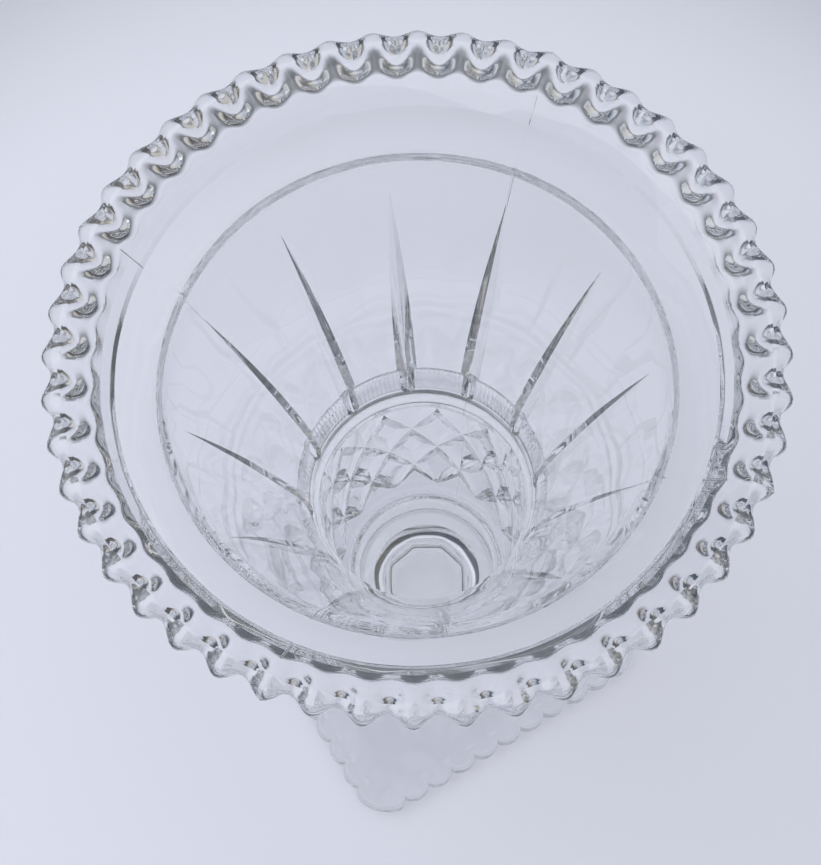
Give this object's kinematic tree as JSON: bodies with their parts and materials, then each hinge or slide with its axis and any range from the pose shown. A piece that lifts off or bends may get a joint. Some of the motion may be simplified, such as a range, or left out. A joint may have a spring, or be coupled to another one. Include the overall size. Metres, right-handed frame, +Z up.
{
  "type": "campana vase",
  "caption": "Footed campana vase in clear pressed glass: a flared bell with a scalloped rim and long mitre cuts, over a diamond-cut cup, a faceted stem and a square scalloped foot.",
  "frame": {"origin": "centre of the foot's underside, where it meets the table", "axes": "+Z up along the axis of the bowl, X and Y along the sides of the square foot"},
  "size_m": [0.224, 0.224, 0.3],
  "materials": {
    "foot_glass": "pressed, ground flat below",
    "stem_glass": "fire polished",
    "wafer_glass": "fire polished",
    "bowl_glass": "fire polished, with mitre cuts"
  },
  "bodies": {
    "root": {"foot": "foot_glass", "stem": "stem_glass", "wafer": "wafer_glass", "bowl": "bowl_glass"}
  },
  "joints": []
}
